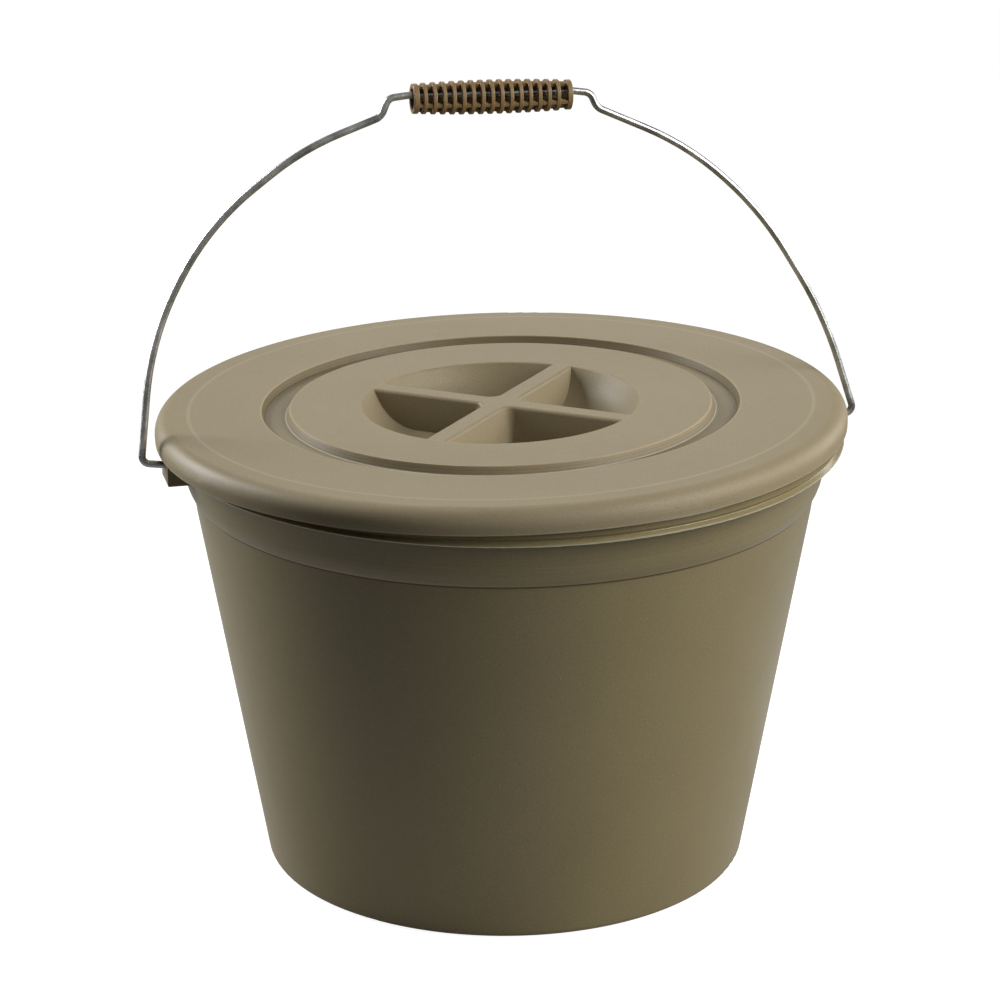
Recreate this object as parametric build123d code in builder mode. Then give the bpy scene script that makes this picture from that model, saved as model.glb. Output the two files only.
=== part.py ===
from build123d import *
import math
import os

# All lengths are in millimetres and all angles in degrees.
# The bucket stands on the ground at z = 0, centred on the Z axis, and its ears lie on the X axis.

# Bucket wall and foot
foot_radius = 135.0
wall_slope = 0.175
wall = 2.2
floor_thickness = 2.5
foot_recess = 3.0
foot_ring_width = 9.0
foot_rounding = 4.5
floor_corner_rounding = 6.0

# Bucket heights, counted down from the top of the rim
bucket_height = 255.4
crease_drop = 49.4
band_drop = 37.2
lip_drop = 10.4

# Collar above the band line
crease_slope = 0.15
band_step = 0.8
flare_out = 2.8
flare_rise = 5.0
flare_rounding = 26.0
flare_inner_rounding = 8.0
collar_slope = 0.18

# Rolled rim
lip_overhang = 8.1
lip_height = 0.9
lip_setback = 2.4
groove_rise = 1.9
roll_setback = 1.5
roll_groove_rise = 1.4
rim_wall = 2.0
rim_outer_rounding = 4.4
rim_inner_rounding = 2.8
small_rounding = 0.5

# Ears under the rim lip
ear_width = 22.0
ear_height = 13.0
ear_proud = 1.5
ear_plate = 3.0
ear_rib = 2.5
pivot_drop = 4.0
pin_hole_clearance = 0.3

# Handle wire, whose left and right sides are bent a little differently
wire_diameter = 4.0
handle_lean = 7.0
handle_rise = 192.9
handle_skew = 1.3
left_corner_reach = 12.6
left_corner_rise = 2.1
right_corner_reach = 14.1
corner_bend = 4.2
left_low_in = 8.7
left_low_drop = 122.0
left_middle_in = 42.7
left_middle_drop = 63.1
left_high_in = 96.3
left_high_drop = 24.6
right_low_in = 16.8
right_low_drop = 135.9
right_middle_in = 52.9
right_middle_drop = 74.3
right_high_in = 94.3
right_high_drop = 35.2
left_jog_rise = 9.9
left_jog_run = 4.2
right_jog_rise = 8.4
right_jog_run = 3.4
left_top_run = 11.7
left_top_drop = 1.0
right_top_run = 10.0
right_top_drop = 1.6
jog_base_bend = 8.0
jog_top_bend = 6.0
top_bend = 25.0
long_bend_share = 0.48
hook_length = 5.0
hook_bend = 2.6
hook_gap = 0.3

# Handle grip
grip_length = 88.4
grip_offset = -0.9
grip_diameter = 16.5
grip_crown = 1.2
grip_shell = 2.0
collar_shell = 2.8
grip_bore = 8.6
grip_play = 1.5
grip_hang_gap = 0.3
window_count = 16
window_width = 3.1
window_pitch = 5.3
web_count = 4
web_width = 2.0
web_angle = 26.0
rib_rounding = 0.4

# Lid, laid on the rim a little off centre and not pushed down
lid_wall = 2.0
lid_tilt = 1.466
lid_raised_side = -51.9
lid_shift = 2.2
lid_seat_gap = 0.3
skirt_clearance = 1.2
skirt_height = 13.0
skirt_flare = 0.7
shoulder_rounding = 9.0
hem_bead = 1.0
hem_bead_height = 1.2
plate_fall = 0.6
locating_clearance = 7.0
locating_ring_wall = 2.0
locating_ring_height = 5.0

# Lid centre: groove, raised disc, finger bowl and crossing bars
disc_radius = 116.9
groove_width = 15.8
groove_depth = 4.6
groove_inner_draft = 2.3
groove_outer_draft = 1.7
groove_rounding = 0.4
bowl_radius = 77.2
bowl_depth = 20.0
bowl_wall_angle = 60.0
bowl_wall_rounding = 29.0
bowl_edge_rounding = 1.2
bar_width = 12.5
bar_draft = 9.0
bar_angle = -40.0
bar_edge_rounding = 2.0
bar_corner_rounding = 6.0
bar_wall = 2.0

os.makedirs("parts", exist_ok=True)


def outline(corners):
    """Closed outline through rows of (across, up, rounding of that corner)."""
    places = [(across, up) for across, up, rounding in corners]
    roundings = [rounding for across, up, rounding in corners]
    FilletPolyline(*places, radius=roundings, close=True)


def long_bend(before, corner, after):
    """Bend radius that uses the same share of the shorter run on both sides of a corner."""
    back = Vector(*before) - Vector(*corner)
    ahead = Vector(*after) - Vector(*corner)
    half_turn = math.radians(180.0 - back.get_angle(ahead)) / 2
    return long_bend_share * min(back.length, ahead.length) / math.tan(half_turn)


# Heights and radii that several pieces share
crease_z = bucket_height - crease_drop
band_z = bucket_height - band_drop
flare_z = band_z + flare_rise
lip_z = bucket_height - lip_drop
crease_radius = foot_radius + wall_slope * crease_z
band_radius = crease_radius + crease_slope * (band_z - crease_z)
flare_radius = band_radius + band_step + flare_out


def collar_radius(height):
    """Outside radius of the wall above the flare."""
    return flare_radius + collar_slope * (height - flare_z)


lip_radius = collar_radius(lip_z) + lip_overhang
lip_top_z = lip_z + lip_height
lip_groove_z = lip_top_z + groove_rise
roll_z = lip_groove_z + roll_groove_rise
roll_radius = lip_radius - roll_setback
lip_groove_radius = lip_radius - lip_setback
channel_roof_z = bucket_height - rim_wall
mouth_radius = collar_radius(bucket_height) - wall

ear_face = lip_radius + ear_proud
ear_base_z = lip_z - ear_height
ear_cavity_face = ear_face - ear_plate
pivot_z = lip_z - pivot_drop
pin_hole_radius = wire_diameter / 2 + pin_hole_clearance


# Bucket: one moulding with wall, foot, rolled rim and two ears
floor_z = foot_recess + floor_thickness
bucket_corners = [
    (foot_radius - foot_ring_width, 0, small_rounding),
    (foot_radius, 0, foot_rounding),
    (crease_radius, crease_z, 0),
    (band_radius, band_z, 0),
    (band_radius + band_step, band_z, 0),
    (flare_radius, flare_z, flare_rounding),
    (collar_radius(channel_roof_z), channel_roof_z, small_rounding),
    (roll_radius - rim_wall, channel_roof_z, rim_outer_rounding - rim_wall),
    (roll_radius - rim_wall, roll_z, 0),
    (lip_groove_radius - rim_wall, lip_groove_z, small_rounding),
    (lip_radius - rim_wall, lip_top_z - small_rounding, 0),
    (lip_radius - rim_wall, lip_z, 0),
    (lip_radius, lip_z, small_rounding),
    (lip_radius, lip_top_z, small_rounding),
    (lip_groove_radius, lip_groove_z, small_rounding),
    (roll_radius, roll_z, 0),
    (roll_radius, bucket_height, rim_outer_rounding),
    (mouth_radius, bucket_height, rim_inner_rounding),
    (flare_radius - wall, flare_z, flare_inner_rounding),
    (band_radius - wall, band_z, flare_inner_rounding),
    (foot_radius + wall_slope * floor_z - wall, floor_z, floor_corner_rounding),
    (0, floor_z, 0),
    (0, foot_recess, 0),
    (foot_radius - foot_ring_width, foot_recess, small_rounding),
]
rib_edge = lip_groove_radius - rim_wall / 2
cavity_edge = lip_groove_radius - rim_wall
cavity_roof_z = channel_roof_z - small_rounding
ear_corners = [
    (collar_radius(ear_base_z) - wall / 2, ear_base_z, 0),
    (ear_face, ear_base_z, small_rounding),
    (ear_face, lip_z, 0),
    (lip_radius - small_rounding, lip_z, 0),
    (lip_radius - small_rounding, lip_top_z - small_rounding, 0),
    (rib_edge, lip_groove_z, 0),
    (rib_edge, cavity_roof_z, 0),
    (collar_radius(cavity_roof_z) - wall / 2, cavity_roof_z, 0),
]
cavity_corners = [
    (collar_radius(ear_base_z), ear_base_z, 0),
    (ear_cavity_face, ear_base_z, 0),
    (ear_cavity_face, lip_z, 0),
    (lip_radius - rim_wall, lip_z, 0),
    (lip_radius - rim_wall, lip_top_z - small_rounding, 0),
    (cavity_edge, lip_groove_z, 0),
    (cavity_edge, cavity_roof_z, 0),
    (collar_radius(cavity_roof_z), cavity_roof_z, 0),
]
with BuildPart() as bucket:
    with BuildSketch(Plane.XZ):
        with BuildLine():
            outline(bucket_corners)
        make_face()
    revolve(axis=Axis.Z)
    for side in (1, -1):
        ear_plane = Plane(origin=(0, 0, 0), x_dir=(side, 0, 0), z_dir=(0, -side, 0))
        with BuildSketch(ear_plane):
            with BuildLine():
                outline(ear_corners)
            make_face()
        extrude(amount=ear_width / 2, both=True)
        with BuildSketch(ear_plane):
            with BuildLine():
                outline(cavity_corners)
            make_face()
        extrude(amount=ear_width / 2 - ear_rib, both=True, mode=Mode.SUBTRACT)
        with BuildSketch(Plane(origin=(side * (ear_cavity_face - 1), 0, pivot_z), z_dir=(side, 0, 0))):
            Circle(pin_hole_radius)
        extrude(amount=ear_plate + 2, mode=Mode.SUBTRACT)
bucket.part.label = "bucket"
export_step(bucket.part, "parts/bucket.step")


# Lid frame: tilted about a level line, so that one side stands higher, and shifted to the other side
raised = math.radians(lid_raised_side)
tilt = math.radians(lid_tilt)
tilt_line = Axis((0, 0, 0), (math.sin(raised), -math.cos(raised), 0))
locating_radius = mouth_radius - locating_clearance
fall_start = locating_radius
skirt_inner = lip_radius + skirt_clearance
lid_radius = skirt_inner + lid_wall + skirt_flare
plate_edge = lid_radius - shoulder_rounding
fall_rate = plate_fall / (plate_edge - fall_start)
seat_radius = roll_radius - rim_outer_rounding - lid_shift
seat_depth = lid_wall + fall_rate * (seat_radius - fall_start)
lid_z = bucket_height + lid_seat_gap + seat_depth + math.sin(tilt) * seat_radius
lid_plane = Plane(
    origin=(-lid_shift * math.cos(raised), -lid_shift * math.sin(raised), lid_z),
    x_dir=Vector(1, 0, 0).rotate(tilt_line, lid_tilt),
    z_dir=Vector(0, 0, 1).rotate(tilt_line, lid_tilt),
)
lid_axis = Axis(lid_plane.origin, lid_plane.z_dir)
lid_section = Plane(origin=lid_plane.origin, x_dir=lid_plane.x_dir, z_dir=-lid_plane.y_dir)

# Lid: one moulding, about as thick everywhere
groove_radius = disc_radius + groove_width
wall_run = bowl_depth / math.tan(math.radians(bowl_wall_angle))
bowl_foot = bowl_radius - wall_run
under_bowl_shift = lid_wall * math.tan(math.radians(bowl_wall_angle / 2))
under_bowl_edge = bowl_radius + under_bowl_shift - lid_wall / math.tan(math.radians(bowl_wall_angle))
skirt_outer = lid_radius - skirt_flare
hem_z = -plate_fall - skirt_height
shoulder_z = -plate_fall
under_z = -lid_wall
under_rounding = lid_wall / 2
lid_corners = [
    (0, -bowl_depth, 0),
    (bowl_foot, -bowl_depth, bowl_wall_rounding),
    (bowl_radius, 0, bowl_edge_rounding),
    (disc_radius, 0, groove_rounding),
    (disc_radius + groove_inner_draft, -groove_depth, groove_rounding),
    (groove_radius - groove_outer_draft, -groove_depth, groove_rounding),
    (groove_radius, 0, groove_rounding),
    (fall_start, 0, 0),
    (lid_radius, shoulder_z, shoulder_rounding),
    (skirt_outer, hem_z, small_rounding),
    (skirt_inner - hem_bead, hem_z, small_rounding),
    (skirt_inner - hem_bead, hem_z + hem_bead_height, small_rounding),
    (skirt_inner, hem_z + hem_bead_height + hem_bead, 0),
    (lid_radius - lid_wall, shoulder_z - lid_wall, shoulder_rounding - lid_wall),
    (locating_radius, under_z, small_rounding),
    (locating_radius, under_z - locating_ring_height, small_rounding),
    (locating_radius - locating_ring_wall, under_z - locating_ring_height, small_rounding),
    (locating_radius - locating_ring_wall, under_z, small_rounding),
    (groove_radius + under_rounding, under_z, under_rounding),
    (groove_radius - groove_outer_draft + under_rounding, under_z - groove_depth, under_rounding),
    (disc_radius + groove_inner_draft - under_rounding, under_z - groove_depth, under_rounding),
    (disc_radius - under_rounding, under_z, under_rounding),
    (under_bowl_edge, under_z, under_rounding),
    (bowl_foot + under_bowl_shift, -bowl_depth - lid_wall, bowl_wall_rounding + lid_wall),
    (0, -bowl_depth - lid_wall, 0),
]
bowl_fill_corners = [
    (0, 0, 0),
    (bowl_radius + under_bowl_shift / 2, 0, 0),
    (bowl_foot + under_bowl_shift / 2, -bowl_depth - lid_wall / 2, bowl_wall_rounding + lid_wall / 2),
    (0, -bowl_depth - lid_wall / 2, 0),
]
bar_length = 2 * (bowl_radius + lid_wall)
with BuildPart() as lid:
    with BuildSketch(lid_plane) as bars:
        Rectangle(bar_length, bar_width, rotation=bar_angle)
        Rectangle(bar_width, bar_length, rotation=bar_angle)
        fillet(bars.vertices().sort_by_distance((0, 0, 0))[:4], bar_corner_rounding)
    extrude(amount=-bowl_depth - lid_wall, taper=-bar_draft)
    fillet(lid.faces().sort_by(lid_axis)[-1].edges(), bar_edge_rounding)
    with BuildSketch(lid_section):
        with BuildLine():
            outline(bowl_fill_corners)
        make_face()
    revolve(axis=lid_axis, mode=Mode.INTERSECT)
    with BuildSketch(lid_section):
        with BuildLine():
            outline(lid_corners)
        make_face()
    revolve(axis=lid_axis)
    with BuildSketch(lid_plane.offset(-lid_wall)) as hollows:
        Rectangle(bar_length, bar_width - 2 * bar_wall, rotation=bar_angle)
        Rectangle(bar_width - 2 * bar_wall, bar_length, rotation=bar_angle)
        fillet(hollows.vertices().sort_by_distance((0, 0, 0))[:4], bar_corner_rounding)
    extrude(amount=-bowl_depth - lid_wall, taper=-bar_draft, mode=Mode.SUBTRACT)
lid.part.label = "lid"
export_step(lid.part, "parts/lid.step")


# Handle wire: flat in one plane through the pivot line, which leans back
handle_plane = Plane(Location((0, 0, pivot_z), (90 - handle_lean, 0, 0)))
hook_x = ear_cavity_face - hook_gap - wire_diameter / 2
ear_plate_middle = ear_face - ear_plate / 2
left_hook_y = -left_corner_rise * (ear_plate_middle - hook_x) / (left_corner_reach + ear_plate / 2)
left_corner_x = -(ear_face + left_corner_reach)
right_corner_x = ear_face + right_corner_reach
left_end_x = grip_offset - grip_length / 2 - grip_play
right_end_x = grip_offset + grip_length / 2 + grip_play
left_end_y = handle_rise + handle_skew
right_end_y = handle_rise - handle_skew
left_jog_x = left_end_x - left_top_run
left_jog_y = left_end_y - left_top_drop
right_jog_x = right_end_x + right_top_run
right_jog_y = right_end_y - right_top_drop
wire_corners = [
    (-hook_x, left_hook_y - hook_length),
    (-hook_x, left_hook_y),
    (left_corner_x, left_corner_rise),
    (left_corner_x + left_low_in, handle_rise - left_low_drop),
    (left_corner_x + left_middle_in, handle_rise - left_middle_drop),
    (left_corner_x + left_high_in, handle_rise - left_high_drop),
    (left_jog_x - left_jog_run, left_jog_y - left_jog_rise),
    (left_jog_x, left_jog_y),
    (left_end_x, left_end_y),
    (right_end_x, right_end_y),
    (right_jog_x, right_jog_y),
    (right_jog_x + right_jog_run, right_jog_y - right_jog_rise),
    (right_corner_x - right_high_in, handle_rise - right_high_drop),
    (right_corner_x - right_middle_in, handle_rise - right_middle_drop),
    (right_corner_x - right_low_in, handle_rise - right_low_drop),
    (right_corner_x, 0),
    (hook_x, 0),
    (hook_x, -hook_length),
]
left_long_bends = [long_bend(*wire_corners[spot - 1:spot + 2]) for spot in (3, 4, 5)]
right_long_bends = [long_bend(*wire_corners[spot - 1:spot + 2]) for spot in (12, 13, 14)]
wire_bends = [hook_bend, corner_bend, *left_long_bends, jog_base_bend, jog_top_bend, top_bend]
wire_bends += [top_bend, jog_top_bend, jog_base_bend, *right_long_bends, corner_bend, hook_bend]
with BuildPart() as handle_wire:
    with BuildLine(handle_plane) as wire_path:
        FilletPolyline(*wire_corners, radius=wire_bends)
    with BuildSketch(Plane(origin=wire_path.line @ 0, z_dir=wire_path.line % 0)):
        Circle(wire_diameter / 2)
    sweep(path=wire_path.line)
handle_wire.part.label = "handle_wire"
export_step(handle_wire.part, "parts/handle_wire.step")


# Handle grip: a slotted barrel, closed at the back, whose lengthwise webs reach inwards and hang on the wire
left_end = handle_plane.from_local_coords((left_end_x, left_end_y, 0))
right_end = handle_plane.from_local_coords((right_end_x, right_end_y, 0))
grip_line = (right_end - left_end).normalized()
grip_down = grip_line.cross(handle_plane.z_dir).normalized()
grip_middle = (left_end + right_end) * 0.5 + grip_down * (grip_bore / 2 - wire_diameter / 2 - grip_hang_gap)
grip_section = Plane(origin=grip_middle, x_dir=grip_line, z_dir=handle_plane.z_dir)
end_radius = grip_diameter / 2
rib_width = window_pitch - window_width
collar_width = (grip_length - window_count * window_pitch + rib_width) / 2
web_length = grip_length - collar_width
web_start = Plane(origin=grip_middle - grip_line * (web_length / 2), x_dir=-grip_down, z_dir=grip_line)
web_height = end_radius + grip_crown - grip_bore / 2
back_turn = 360 / web_count
back_angle = web_angle + 2 * back_turn
back_start = web_start.x_dir.rotate(Axis(grip_middle, grip_line), back_angle)


def barrel_radius(along):
    """Outside radius of the grip at a distance from its middle."""
    return end_radius + grip_crown * (1 - (2 * along / grip_length) ** 2)


with BuildPart() as handle_grip:
    with BuildSketch(web_start):
        with PolarLocations((web_height + grip_bore) / 2, web_count, web_angle):
            Rectangle(web_height, web_width)
    extrude(amount=web_length)
    with BuildSketch(grip_section):
        with BuildLine():
            crown_line = ThreePointArc(
                (-grip_length / 2, end_radius - rib_rounding),
                (0, end_radius + grip_crown - rib_rounding),
                (grip_length / 2, end_radius - rib_rounding),
            )
            Polyline(crown_line @ 0, (-grip_length / 2, 0), (grip_length / 2, 0), crown_line @ 1)
        make_face()
    revolve(axis=Axis(grip_middle, grip_line), mode=Mode.INTERSECT)
    with BuildSketch(grip_section) as ribs:
        for place in GridLocations(window_pitch, 1, window_count - 1, 1):
            along = place.position.X
            with Locations((along, barrel_radius(along) - grip_shell / 2)):
                Rectangle(rib_width, grip_shell)
        for side in (-1, 1):
            with Locations((side * (grip_length - collar_width) / 2, end_radius - collar_shell / 2)):
                Rectangle(collar_width, collar_shell)
        outer_corners = ribs.vertices().filter_by_position(Axis.Y, end_radius - rib_rounding, grip_diameter)
        fillet(outer_corners, rib_rounding)
    revolve(axis=Axis(grip_middle, grip_line))
    with BuildSketch(Plane(origin=grip_middle, x_dir=grip_line, z_dir=grip_line.cross(back_start))):
        with BuildLine():
            back_arcs = []
            for depth in (rib_rounding, grip_shell):
                back_arcs.append(ThreePointArc(
                    (-web_length / 2, barrel_radius(web_length / 2) - depth),
                    (0, barrel_radius(0) - depth),
                    (web_length / 2, barrel_radius(web_length / 2) - depth),
                ))
            Line(back_arcs[0] @ 0, back_arcs[1] @ 0)
            Line(back_arcs[0] @ 1, back_arcs[1] @ 1)
        make_face()
    revolve(axis=Axis(grip_middle, grip_line), revolution_arc=back_turn)
handle_grip.part.label = "handle_grip"
export_step(handle_grip.part, "parts/handle_grip.step")
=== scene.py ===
import math

import bpy
from mathutils import Matrix, Vector

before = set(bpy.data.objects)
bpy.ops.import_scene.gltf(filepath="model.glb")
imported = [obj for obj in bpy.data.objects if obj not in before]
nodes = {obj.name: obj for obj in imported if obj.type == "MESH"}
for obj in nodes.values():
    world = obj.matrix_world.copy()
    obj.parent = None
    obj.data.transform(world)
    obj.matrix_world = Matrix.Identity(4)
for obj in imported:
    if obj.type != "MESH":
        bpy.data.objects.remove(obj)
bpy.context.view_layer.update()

# Lengths are in metres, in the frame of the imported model.

# Where the lid lies, and which side of it is raised
LID_MIDDLE = Vector((-0.001357, 0.001731, 0.262704))
LID_TILT = math.radians(1.466)
LID_RAISED_SIDE = math.radians(-51.9)

# Lid marks and painted light, by distance from the lid's axis and height over its middle
# The groove's walls get painted shade with turned lines through it, the outer wall more than the inner
GROOVE_INNER_WALL = 0.1181
GROOVE_INNER_HALF = 0.0022
GROOVE_INNER_SHADE = 0.45
GROOVE_OUTER_WALL = 0.1319
GROOVE_OUTER_HALF = 0.0020
GROOVE_OUTER_SHADE = 0.95
GROOVE_WALL_EDGE = 0.30
GROOVE_WALL_TOP = -0.0005
# A thin painted highlight at the foot of the groove's inner wall
GROOVE_FOOT = 0.1194
GROOVE_FOOT_HALF = 0.0006
GROOVE_FOOT_TOP = -0.0041
GROOVE_SLANT = 0.45
GROOVE_LINES = 2600.0
# Paler lines along the groove's and the bowl's top edges: painted highlights
EDGE_HIGHLIGHTS = ((0.1167, 0.0007, 0.60), (0.1329, 0.0007, 0.60), (0.0774, 0.0008, 0.35))
EDGE_HIGHLIGHT_FLOOR = -0.0009
# A faint painted highlight ring on the lid's plate
PLATE_RING = 0.1731
PLATE_RING_HALF = 0.0016
# A painted highlight along the bottom of the lid's hem
HEM_RADIUS = 0.190
HEM_TOP = -0.0127

# Bucket marks and painted light, by distance from its axis and height over the floor
# A thin painted highlight along the rim's lip
LIP_HEIGHT = 0.2454
LIP_HALF = 0.0005
LIP_RADIUS = 0.1878
# The band gets a thin painted highlight and, just below it, a painted shadow under its step
BAND_LIGHT = 0.2186
BAND_LIGHT_HALF = 0.0006
BAND_DARK = 0.2174
BAND_DARK_HALF = 0.0007
COLLAR_BOTTOM = 0.2187
COLLAR_TOP = 0.2445
COLLAR_LINES = 900.0
RIM_GLOSS_FROM = 0.2462
RIM_GLOSS = 0.15

# Where the grip lies, and how far out its painted shade inside reaches
GRIP_MIDDLE = Vector((-0.000957, 0.023265, 0.430478))
GRIP_LINE = Vector((0.999596, -0.003465, -0.028223))
GRIP_INSIDE = 0.0066

# Noise scales, in waves for each metre
MOTTLE = 7.0
PATCHES = 12.0
CLOUDS = 60.0
SPECKS = 1100.0
GRAIN = 1300.0
HAIR_STRETCH = (9.0, 420.0, 90.0)
HAIR_TURN = (0.5, 0.3, 0.9)

CAMERA_PLACE = Vector((-0.4579, -1.9735, 0.9147))
CAMERA_TARGET = Vector((-0.00219, 0.00051, 0.2052))
CAMERA_ROLL = math.radians(-0.21)
CAMERA_LENS = 138.17
CAMERA_SENSOR = 36.0
CAMERA_BEARING = math.radians(-13.0)

# Lamps: name, bearing and elevation in degrees, strength. Bearing 0 is at the camera's side, 90 at its right.
LAMPS = (
    ("key", 65, 45, 9.3),
    ("key_side", 90, 28, 5.2),
    ("key_low", 60, 22, 8.6),
    ("rim_left", -120, 28, 17.0),
    ("rim_left_low", -111, 10, 7.8),
    ("rim_right", 127, 11, 3.4),
    ("back", 180, 25, 1.2),
)
LAMP_TARGET = Vector((0.0, 0.0, 0.2))
LAMP_DISTANCE = 1.7
LAMP_SIDE = 0.7
LAMP_COLOURS = {"key": (1.0, 0.99, 0.97)}

WORLD_FILL = 0.005
WORLD_GLOSS = 0.30

# Floor: its glow fades up to white, and its paint fades to dark, between two distances from the middle
FLOOR_HALF = 9.0
FLOOR_DEPTH = 0.0001
FLOOR_WHITE = 0.93
FLOOR_WHITE_FROM = 0.35
FLOOR_WHITE_TO = 1.1
FLOOR_GLOSS = 0.10
FLOOR_PAINT = 0.38
FLOOR_PAINT_FAR = 0.05
FLOOR_PAINT_FROM = 0.30
FLOOR_PAINT_TO = 0.85


def srgb(red, green, blue):
    """Linear colour of an 8-bit display colour."""
    out = []
    for value in (red, green, blue):
        v = value / 255
        out.append(v / 12.92 if v <= 0.04045 else ((v + 0.055) / 1.055) ** 2.4)
    return (*out, 1.0)


BUCKET_COLOURS = (srgb(121, 109, 77), srgb(133, 121, 87))
LID_COLOURS = (srgb(133, 121, 95), srgb(145, 133, 107))
GRIP_COLOURS = (srgb(128, 104, 70), srgb(144, 118, 80))
WIRE_COLOURS = (srgb(148, 149, 146), srgb(204, 204, 200))
WIRE_MARK = srgb(84, 86, 82)
DUST = srgb(196, 188, 166)
HAIR_SCRATCH = srgb(190, 180, 158)
# Dark colour of the painted shade and turned lines on the lid groove's walls
GROOVE_SHADE_AND_LINES = srgb(74, 62, 38)
# Colour of the painted highlight at the foot of the groove's inner wall
GROOVE_FOOT_HIGHLIGHT = srgb(205, 204, 192)
# Colour of the painted highlights along the lid's edges
EDGE_HIGHLIGHT_COLOUR = srgb(176, 156, 122)
# Colour of the faint painted highlight ring on the plate
PLATE_RING_HIGHLIGHT = srgb(190, 182, 160)
# Colour of the painted highlight along the lid's hem
HEM_HIGHLIGHT = srgb(205, 200, 184)
# Colour of the painted highlight along the rim's lip
LIP_HIGHLIGHT = srgb(205, 203, 190)
# Colours of the band's painted highlight and of the painted shadow under it
BAND_HIGHLIGHT = srgb(158, 130, 88)
BAND_SHADOW = srgb(40, 34, 22)
COLLAR_LINE = srgb(176, 164, 136)
# Colour of the painted shade inside the grip
GRIP_INSIDE_SHADE = srgb(30, 25, 16)


class Nodes:
    """Writes a node tree in few words: add makes a node, and the rest make one and give its output."""

    def __init__(self, tree):
        self.tree = tree
        tree.nodes.clear()

    def add(self, kind, settings=None, **inputs):
        node = self.tree.nodes.new(kind)
        for name, value in (settings or {}).items():
            setattr(node, name, value)
        for name, value in inputs.items():
            self.set(node, name.replace("_", " "), value)
        return node

    def fill(self, socket, value):
        """Links a socket where the value is a node's output, and sets it otherwise."""
        if isinstance(value, bpy.types.NodeSocket):
            self.tree.links.new(value, socket)
        else:
            socket.default_value = value

    def set(self, node, name, value):
        self.fill(node.inputs[int(name)] if name.isdigit() else node.inputs[name], value)

    def math(self, operation, first, second=0.0, clamp=False):
        node = self.tree.nodes.new("ShaderNodeMath")
        node.operation = operation
        node.use_clamp = clamp
        self.fill(node.inputs[0], first)
        self.fill(node.inputs[1], second)
        return node.outputs[0]

    def noise(self, place, scale, detail=2.0, rough=0.5):
        settings = {"noise_dimensions": "3D"}
        node = self.add("ShaderNodeTexNoise", settings, Vector=place, Scale=scale, Detail=detail)
        self.set(node, "Roughness", rough)
        return node.outputs["Fac"]

    def lines(self, along, scale):
        """Noise along one direction only, for turned or drawn lines."""
        settings = {"noise_dimensions": "1D"}
        node = self.add("ShaderNodeTexNoise", settings, W=along, Scale=scale, Detail=2.0)
        return node.outputs["Fac"]

    def ramp(self, factor, stops):
        node = self.tree.nodes.new("ShaderNodeValToRGB")
        elements = node.color_ramp.elements
        while len(elements) < len(stops):
            elements.new(0.5)
        for element, (place, colour) in zip(elements, stops):
            element.position = place
            element.color = colour
        self.tree.links.new(factor, node.inputs["Fac"])
        return node.outputs["Color"]

    def mix(self, factor, first, second):
        node = self.tree.nodes.new("ShaderNodeMix")
        node.data_type = "RGBA"
        for name, value in (("Factor_Float", factor), ("A_Color", first), ("B_Color", second)):
            self.fill(next(s for s in node.inputs if s.identifier == name), value)
        return next(s for s in node.outputs if s.identifier == "Result_Color")


def grey(value):
    return (value, value, value, 1.0)


def shade(n, colour, mask, strength, target):
    """Colour moved towards another one where a mask is bright."""
    return n.mix(n.math("MULTIPLY", mask, strength), colour, target)


def band(n, value, middle, half):
    """Soft mask that is one where a value is at a middle and nought a half width away."""
    away = n.math("ABSOLUTE", n.math("SUBTRACT", value, middle))
    return n.math("SUBTRACT", 1.0, n.math("DIVIDE", away, half), clamp=True)


def round_place(n, place, matrix=None):
    """Distance from an axis and height along it: the Z axis of a matrix, or else of the frame."""
    if matrix is not None:
        back = matrix.inverted()
        mapping = n.add("ShaderNodeMapping", {"vector_type": "POINT"}, Vector=place)
        n.set(mapping, "Rotation", tuple(back.to_euler()))
        n.set(mapping, "Location", tuple(back.translation))
        place = mapping.outputs[0]
    parts = n.add("ShaderNodeSeparateXYZ", Vector=place)
    across = n.math("MULTIPLY", parts.outputs[0], parts.outputs[0])
    deep = n.math("MULTIPLY", parts.outputs[1], parts.outputs[1])
    return n.math("SQRT", n.math("ADD", across, deep)), parts.outputs[2]


def lid_matrix():
    """Where the lid lies: its origin in its middle, its Z axis up along its own axis."""
    line = Vector((math.sin(LID_RAISED_SIDE), -math.cos(LID_RAISED_SIDE), 0.0))
    return Matrix.Translation(LID_MIDDLE) @ Matrix.Rotation(LID_TILT, 4, line)


def grip_matrix():
    """Where the grip lies: its origin in its middle, its Z axis along it."""
    turn = GRIP_LINE.to_track_quat("Z", "Y").to_matrix().to_4x4()
    return Matrix.Translation(GRIP_MIDDLE) @ turn


def groove_wall(n, radius, middle, half, amount):
    """Mask of one wall of the lid's groove, scaled by the amount of painted shade it gets."""
    return n.math("MULTIPLY", n.math("GREATER_THAN", band(n, radius, middle, half), GROOVE_WALL_EDGE), amount)


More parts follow.
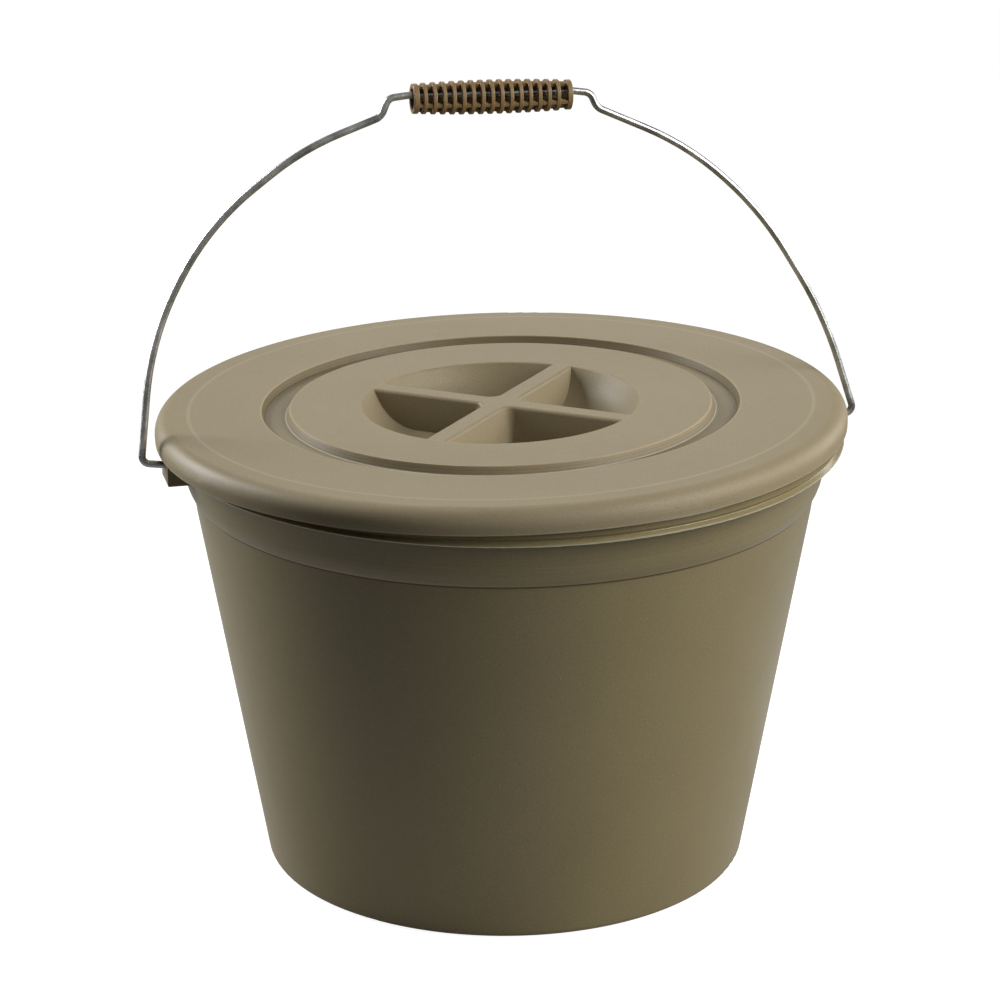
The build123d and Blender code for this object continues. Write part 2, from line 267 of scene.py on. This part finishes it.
def lid_marks_and_painted_light(n, place, colour):
    """Turned lines and painted shade on the groove's walls, paler lines of painted highlight on the edges and
    at the groove's foot, and a faint painted highlight ring on the plate and on the hem.
    """
    radius, height = round_place(n, place, lid_matrix())
    # Painted shade on the groove's walls, with turned lines through it
    inner = groove_wall(n, radius, GROOVE_INNER_WALL, GROOVE_INNER_HALF, GROOVE_INNER_SHADE)
    outer = groove_wall(n, radius, GROOVE_OUTER_WALL, GROOVE_OUTER_HALF, GROOVE_OUTER_SHADE)
    walls = n.math("MULTIPLY", n.math("ADD", inner, outer), n.math("LESS_THAN", height, GROOVE_WALL_TOP))
    turned = n.lines(n.math("ADD", height, n.math("MULTIPLY", radius, GROOVE_SLANT)), GROOVE_LINES)
    stripes = n.ramp(turned, [(0.35, grey(1.0)), (0.65, grey(0.25))])
    colour = shade(n, colour, n.math("MULTIPLY", stripes, walls), 0.90, GROOVE_SHADE_AND_LINES)
    # Painted highlights along the groove's and the bowl's top edges
    for at, half, amount in EDGE_HIGHLIGHTS:
        edge = n.math("MULTIPLY", band(n, radius, at, half), n.math("GREATER_THAN", height, EDGE_HIGHLIGHT_FLOOR))
        colour = shade(n, colour, edge, amount, EDGE_HIGHLIGHT_COLOUR)
    # Painted highlight along the foot of the groove's inner wall
    foot = band(n, radius, GROOVE_FOOT, GROOVE_FOOT_HALF)
    foot = n.math("MULTIPLY", foot, n.math("LESS_THAN", height, GROOVE_FOOT_TOP))
    colour = shade(n, colour, foot, 0.65, GROOVE_FOOT_HIGHLIGHT)
    # Faint painted highlight ring on the plate
    colour = shade(n, colour, band(n, radius, PLATE_RING, PLATE_RING_HALF), 0.22, PLATE_RING_HIGHLIGHT)
    # Painted highlight along the bottom of the hem
    hem = n.math("MULTIPLY", n.math("LESS_THAN", height, HEM_TOP), n.math("GREATER_THAN", radius, HEM_RADIUS))
    colour = shade(n, colour, hem, 0.15, HEM_HIGHLIGHT)
    return colour, n.math("MULTIPLY", n.math("MULTIPLY", turned, walls), 0.8), 0.0


def bucket_marks_and_painted_light(n, place, colour):
    """Painted highlights on the rim's lip and on the band, a painted shadow just under the band, faint turned
    lines round the collar, a glossier rim.
    """
    radius, height = round_place(n, place)
    outside = n.math("GREATER_THAN", radius, LIP_RADIUS)
    # Painted highlight along the lip's edge
    lip = n.math("MULTIPLY", band(n, height, LIP_HEIGHT, LIP_HALF), outside)
    colour = shade(n, colour, lip, 0.75, LIP_HIGHLIGHT)
    # Painted highlight on the band, and painted shadow just below it
    colour = shade(n, colour, band(n, height, BAND_LIGHT, BAND_LIGHT_HALF), 0.75, BAND_HIGHLIGHT)
    colour = shade(n, colour, band(n, height, BAND_DARK, BAND_DARK_HALF), 0.75, BAND_SHADOW)
    turned = n.lines(height, COLLAR_LINES)
    above = n.math("GREATER_THAN", height, COLLAR_BOTTOM)
    collar = n.math("MULTIPLY", above, n.math("LESS_THAN", height, COLLAR_TOP))
    stripes = n.math("MULTIPLY", n.ramp(turned, [(0.40, grey(0.0)), (0.70, grey(1.0))]), collar)
    colour = shade(n, colour, stripes, 0.10, COLLAR_LINE)
    shine = n.math("MULTIPLY", n.math("GREATER_THAN", height, RIM_GLOSS_FROM), RIM_GLOSS)
    return colour, n.math("MULTIPLY", stripes, 0.12), shine


def grip_painted_shade(n, place, colour):
    """Painted shade: darker colour inside the grip, within a radius of its axis."""
    radius = round_place(n, place, grip_matrix())[0]
    # Painted shade within a radius of the grip's axis
    inside = n.ramp(n.math("DIVIDE", radius, GRIP_INSIDE), [(0.85, grey(1.0)), (1.0, grey(0.0))])
    return shade(n, colour, inside, 0.85, GRIP_INSIDE_SHADE), 0.0, 0.0


def new_material(name):
    """New material, with the helper for its emptied node tree."""
    material = bpy.data.materials.new(name)
    material.use_nodes = True
    return material, Nodes(material.node_tree)


def finish_surface(n, shader):
    """Links a shader to the material's output."""
    n.set(n.add("ShaderNodeOutputMaterial"), "Surface", shader.outputs[0])


def plastic(name, dark, light, roughness, ior, marks):
    """Moulded plastic: soft colour clouds, fine grain, faint hair scratches, dust specks and uneven gloss.

    marks adds what one piece has of its own, and its painted shade and highlights, and gives back a colour, a
    height and a part of the roughness to take off.
    """
    material, n = new_material(name)
    place = n.add("ShaderNodeTexCoord").outputs["Object"]
    mottle = n.noise(place, MOTTLE, 3.0)
    cloud = n.noise(place, CLOUDS)
    grain = n.noise(place, GRAIN)
    blend = n.math("ADD", n.math("MULTIPLY", mottle, 0.40), n.math("MULTIPLY", grain, 0.60))
    colour = n.ramp(blend, [(0.38, dark), (0.62, light)])
    specks = n.noise(place, SPECKS, 1.0)
    speck_mask = n.ramp(specks, [(0.76, grey(0.0)), (0.79, grey(1.0))])
    colour = shade(n, colour, speck_mask, 0.45, DUST)
    stretch = n.add("ShaderNodeMapping", Vector=place, Rotation=HAIR_TURN, Scale=HAIR_STRETCH)
    hairs = n.noise(stretch.outputs[0], 2.2)
    patches = n.ramp(n.noise(place, PATCHES, 1.0), [(0.52, grey(0.0)), (0.66, grey(1.0))])
    hair_mask = n.math("MULTIPLY", n.ramp(hairs, [(0.70, grey(0.0)), (0.74, grey(1.0))]), patches)
    colour = shade(n, colour, hair_mask, 0.08, HAIR_SCRATCH)
    height = n.math("ADD", n.math("MULTIPLY", grain, 0.50), n.math("MULTIPLY", cloud, 0.25))
    height = n.math("SUBTRACT", height, n.math("MULTIPLY", hair_mask, 0.10))
    # The piece's own marks, with its painted shade and highlights
    colour, relief, shine = marks(n, place, colour)
    height = n.math("ADD", height, relief)
    bump = n.add("ShaderNodeBump", Strength=0.20, Distance=0.0002, Height=height)
    wear = n.math("ADD", n.math("MULTIPLY", mottle, 0.7), n.math("MULTIPLY", cloud, 0.3))
    gloss = n.ramp(wear, [(0.35, grey(roughness - 0.03)), (0.65, grey(roughness + 0.04))])
    gloss = n.math("SUBTRACT", gloss, shine)
    shader = n.add("ShaderNodeBsdfPrincipled", Base_Color=colour, Roughness=gloss, Normal=bump.outputs[0])
    n.set(shader, "IOR", ior)
    finish_surface(n, shader)
    return material


def steel(name):
    """Drawn and zinc-plated wire, with dull patches and small dark marks."""
    material, n = new_material(name)
    place = n.add("ShaderNodeTexCoord").outputs["Object"]
    patches = n.noise(place, CLOUDS, 3.0, 0.6)
    fine = n.noise(place, SPECKS, 2.0, 0.6)
    colour = n.ramp(patches, [(0.35, WIRE_COLOURS[0]), (0.65, WIRE_COLOURS[1])])
    marks = n.ramp(fine, [(0.33, grey(1.0)), (0.42, grey(0.0))])
    colour = shade(n, colour, marks, 0.18, WIRE_MARK)
    wear = n.math("ADD", n.math("MULTIPLY", patches, 0.5), n.math("MULTIPLY", fine, 0.5))
    gloss = n.ramp(wear, [(0.35, grey(0.22)), (0.65, grey(0.38))])
    bump = n.add("ShaderNodeBump", Strength=0.06, Distance=0.0001, Height=fine)
    shader = n.add("ShaderNodeBsdfPrincipled", Base_Color=colour, Roughness=gloss, Normal=bump.outputs[0])
    n.set(shader, "Metallic", 1.0)
    finish_surface(n, shader)
    return material


def fade(n, value, start, end, first, last):
    """Number that goes from a first to a last one as a value goes from a start to an end."""
    node = n.add("ShaderNodeMapRange", From_Min=start, From_Max=end, To_Min=first, To_Max=last)
    n.set(node, "Value", value)
    return node.outputs[0]


def background(name):
    """Floor that is white to the camera, dimmer in reflections, and keeps the object's shadow."""
    material, n = new_material(name)
    rays = n.add("ShaderNodeLightPath").outputs
    seen = n.math("MAXIMUM", rays["Is Camera Ray"], rays["Is Transmission Ray"])
    place = n.add("ShaderNodeTexCoord").outputs["Object"]
    far = n.add("ShaderNodeVectorMath", {"operation": "LENGTH"}, **{"0": place}).outputs["Value"]
    white = fade(n, far, FLOOR_WHITE_FROM, FLOOR_WHITE_TO, FLOOR_WHITE, 1.0)
    mirrored = n.math("MULTIPLY", rays["Is Glossy Ray"], FLOOR_GLOSS)
    strength = n.math("MAXIMUM", n.math("MULTIPLY", seen, white), mirrored)
    away = fade(n, far, FLOOR_PAINT_FROM, FLOOR_PAINT_TO, 0.0, 1.0)
    paint = n.mix(away, grey(FLOOR_PAINT), grey(FLOOR_PAINT_FAR))
    both = n.add("ShaderNodeAddShader")
    n.set(both, "0", n.add("ShaderNodeBsdfDiffuse", Color=paint).outputs[0])
    n.set(both, "1", n.add("ShaderNodeEmission", Color=grey(1.0), Strength=strength).outputs[0])
    finish_surface(n, both)
    return material


def build_world():
    """Backdrop that is white to the camera, dimmer in reflections and gives hardly any light."""
    world = bpy.data.worlds.new("studio")
    world.use_nodes = True
    n = Nodes(world.node_tree)
    rays = n.add("ShaderNodeLightPath").outputs
    seen = n.math("MAXIMUM", rays["Is Camera Ray"], rays["Is Transmission Ray"])
    mirrored = n.math("MULTIPLY", rays["Is Glossy Ray"], WORLD_GLOSS)
    strength = n.math("MAXIMUM", n.math("MAXIMUM", mirrored, WORLD_FILL), seen)
    shader = n.add("ShaderNodeBackground", Color=grey(1.0), Strength=strength)
    n.set(n.add("ShaderNodeOutputWorld"), "Surface", shader.outputs[0])
    bpy.context.scene.world = world


def softbox(name, bearing, elevation, radiance):
    """Square lamp aimed at the object, which the camera doesn't see."""
    lamp = bpy.data.lights.new(name, "AREA")
    lamp.shape = "RECTANGLE"
    lamp.size = LAMP_SIDE
    lamp.size_y = LAMP_SIDE
    lamp.energy = radiance * math.pi * LAMP_SIDE * LAMP_SIDE
    lamp.color = LAMP_COLOURS.get(name, (1.0, 1.0, 1.0))
    thing = bpy.data.objects.new(name, lamp)
    bpy.context.scene.collection.objects.link(thing)
    turn = math.radians(bearing) + CAMERA_BEARING
    rise = math.radians(elevation)
    away = Vector((math.sin(turn) * math.cos(rise), -math.cos(turn) * math.cos(rise), math.sin(rise)))
    thing.location = LAMP_TARGET + away * LAMP_DISTANCE
    thing.rotation_mode = "QUATERNION"
    thing.rotation_quaternion = away.to_track_quat("Z", "Y")
    thing.visible_camera = False


def build_lights():
    for name, bearing, elevation, radiance in LAMPS:
        softbox(name, bearing, elevation, radiance)


def build_floor():
    corners = [(x * FLOOR_HALF, y * FLOOR_HALF, 0) for x, y in ((-1, -1), (1, -1), (1, 1), (-1, 1))]
    mesh = bpy.data.meshes.new("floor")
    mesh.from_pydata(corners, [], [(0, 1, 2, 3)])
    floor = bpy.data.objects.new("floor", mesh)
    bpy.context.scene.collection.objects.link(floor)
    floor.location.z = -FLOOR_DEPTH
    mesh.materials.append(background("floor_white"))


def build_camera():
    """Camera at the photograph's place, aimed and rolled as it was."""
    forward = (CAMERA_TARGET - CAMERA_PLACE).normalized()
    level = forward.cross(Vector((0, 0, 1))).normalized()
    rise = level.cross(forward)
    right = math.cos(CAMERA_ROLL) * level + math.sin(CAMERA_ROLL) * rise
    up = math.cos(CAMERA_ROLL) * rise - math.sin(CAMERA_ROLL) * level
    data = bpy.data.cameras.new("camera")
    data.lens = CAMERA_LENS
    data.sensor_width = CAMERA_SENSOR
    data.clip_start = 0.05
    data.clip_end = 60.0
    camera = bpy.data.objects.new("camera", data)
    bpy.context.scene.collection.objects.link(camera)
    camera.matrix_world = Matrix((
        (right.x, up.x, -forward.x, CAMERA_PLACE.x),
        (right.y, up.y, -forward.y, CAMERA_PLACE.y),
        (right.z, up.z, -forward.z, CAMERA_PLACE.z),
        (0, 0, 0, 1),
    ))
    bpy.context.scene.camera = camera


def give(node, material):
    """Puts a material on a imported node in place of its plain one."""
    slots = nodes[node].data.materials
    slots.clear()
    slots.append(material)


give("bucket", plastic("bucket_plastic_look", *BUCKET_COLOURS, 0.32, 1.40, bucket_marks_and_painted_light))
give("lid", plastic("lid_plastic_look", *LID_COLOURS, 0.46, 1.27, lid_marks_and_painted_light))
give("handle_wire", steel("wire_look"))
give("handle_grip", plastic("grip_plastic_look", *GRIP_COLOURS, 0.36, 1.45, grip_painted_shade))

build_world()
build_lights()
build_floor()
build_camera()
bpy.context.scene.view_settings.view_transform = "Standard"
